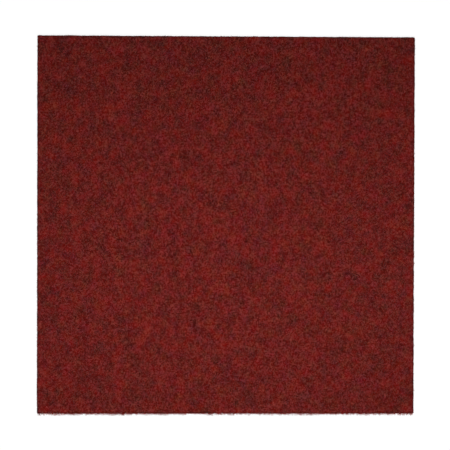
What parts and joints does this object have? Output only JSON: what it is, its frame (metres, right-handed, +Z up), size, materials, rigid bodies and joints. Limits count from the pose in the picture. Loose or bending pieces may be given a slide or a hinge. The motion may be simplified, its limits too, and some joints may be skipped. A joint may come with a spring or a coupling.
{
  "type": "carpet tile",
  "caption": "Square needle-felt carpet tile with mottled red fibre face, straight cut edges and flat underside, laid edge to edge on a floor.",
  "frame": {"origin": "centre of the underside, on the floor", "axes": "+Z up out of the fibre face; +Y the way the felt ran when it was made, up the picture; +X to the picture's right"},
  "size_m": [0.5, 0.5, 0.006],
  "materials": {
    "needle_felt": "matt mottled red and black needled fibre"
  },
  "bodies": {
    "root": {"carpet_tile": "needle_felt"}
  },
  "joints": []
}
